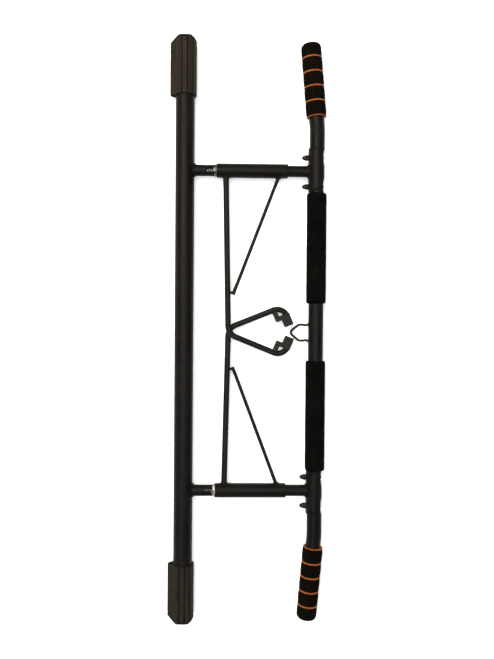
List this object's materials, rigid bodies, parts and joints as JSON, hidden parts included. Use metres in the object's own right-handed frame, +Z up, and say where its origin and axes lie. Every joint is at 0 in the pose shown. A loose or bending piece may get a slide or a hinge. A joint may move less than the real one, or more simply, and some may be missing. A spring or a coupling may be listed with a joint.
{
  "type": "pull up bar",
  "caption": "Doorway pull-up bar, folded flat: two cross-tubed steel bars, foam grips with orange rings, rubber feet, and two folding hooks with spring locks.",
  "frame": {"origin": "on the floor under the middle of the folded bar, at the centre of its bounding box's base", "axes": "+X from the rear bar with the rubber feet to the front bar with the foam, +Y to the left end, +Z up from the floor the bar lies on"},
  "size_m": [0.266, 0.992, 0.0386],
  "materials": {
    "black_powder_coat": "satin",
    "blackened_steel": "satin",
    "black_foam": "matte",
    "orange_ring": "matte",
    "foot_rubber": "matte",
    "pad_rubber": "matte",
    "white_nylon": "satin",
    "zinc_steel": "satin"
  },
  "bodies": {
    "frame": {"rear_bar": "black_powder_coat", "front_bar": "black_powder_coat", "saddle_bolts": "blackened_steel", "dome_nuts": "blackened_steel", "hang_loop": "black_powder_coat", "left_foot": "foot_rubber", "left_cross_tube": "black_powder_coat", "left_saddle": "black_powder_coat", "left_foam_sleeve": "black_foam", "left_grip": "black_foam", "left_grip_rings": "orange_ring", "left_lock_stud": "zinc_steel", "left_spring_seat": "zinc_steel", "left_lock_spring": "zinc_steel", "right_foot": "foot_rubber", "right_cross_tube": "black_powder_coat", "right_saddle": "black_powder_coat", "right_foam_sleeve": "black_foam", "right_grip": "black_foam", "right_grip_rings": "orange_ring", "right_lock_stud": "zinc_steel", "right_spring_seat": "zinc_steel", "right_lock_spring": "zinc_steel"},
    "left_thrust": {"left_thrust_collar": "white_nylon", "left_lock_pin": "zinc_steel"},
    "left_hook": {"left_hook_sleeve": "black_powder_coat", "left_hook_rod": "black_powder_coat", "left_hook_brace": "black_powder_coat", "left_pad_core": "black_powder_coat", "left_hook_pad": "pad_rubber"},
    "right_thrust": {"right_thrust_collar": "white_nylon", "right_lock_pin": "zinc_steel"},
    "right_hook": {"right_hook_sleeve": "black_powder_coat", "right_hook_rod": "black_powder_coat", "right_hook_brace": "black_powder_coat", "right_pad_core": "black_powder_coat", "right_hook_pad": "pad_rubber"}
  },
  "joints": [
    {"name": "left_lock_slide", "type": "slide", "parent": "frame", "child": "left_thrust", "axis": [1, 0, 0], "range_m": [-0.004, 0.0025], "stiffness_N_per_m": 3800, "deforming": ["left_lock_spring"]},
    {"name": "right_lock_slide", "type": "slide", "parent": "frame", "child": "right_thrust", "axis": [1, 0, 0], "range_m": [-0.004, 0.0025], "stiffness_N_per_m": 3800, "deforming": ["right_lock_spring"]},
    {"name": "left_hook_fold", "type": "hinge", "parent": "left_thrust", "child": "left_hook", "pos_m": [0.00643, 0.2715, 0.0193], "axis": [-1, 0, 0], "range_deg": [0, 88.8]},
    {"name": "right_hook_fold", "type": "hinge", "parent": "right_thrust", "child": "right_hook", "pos_m": [0.00643, -0.2715, 0.0193], "axis": [1, 0, 0], "range_deg": [0, 91.2]}
  ]
}
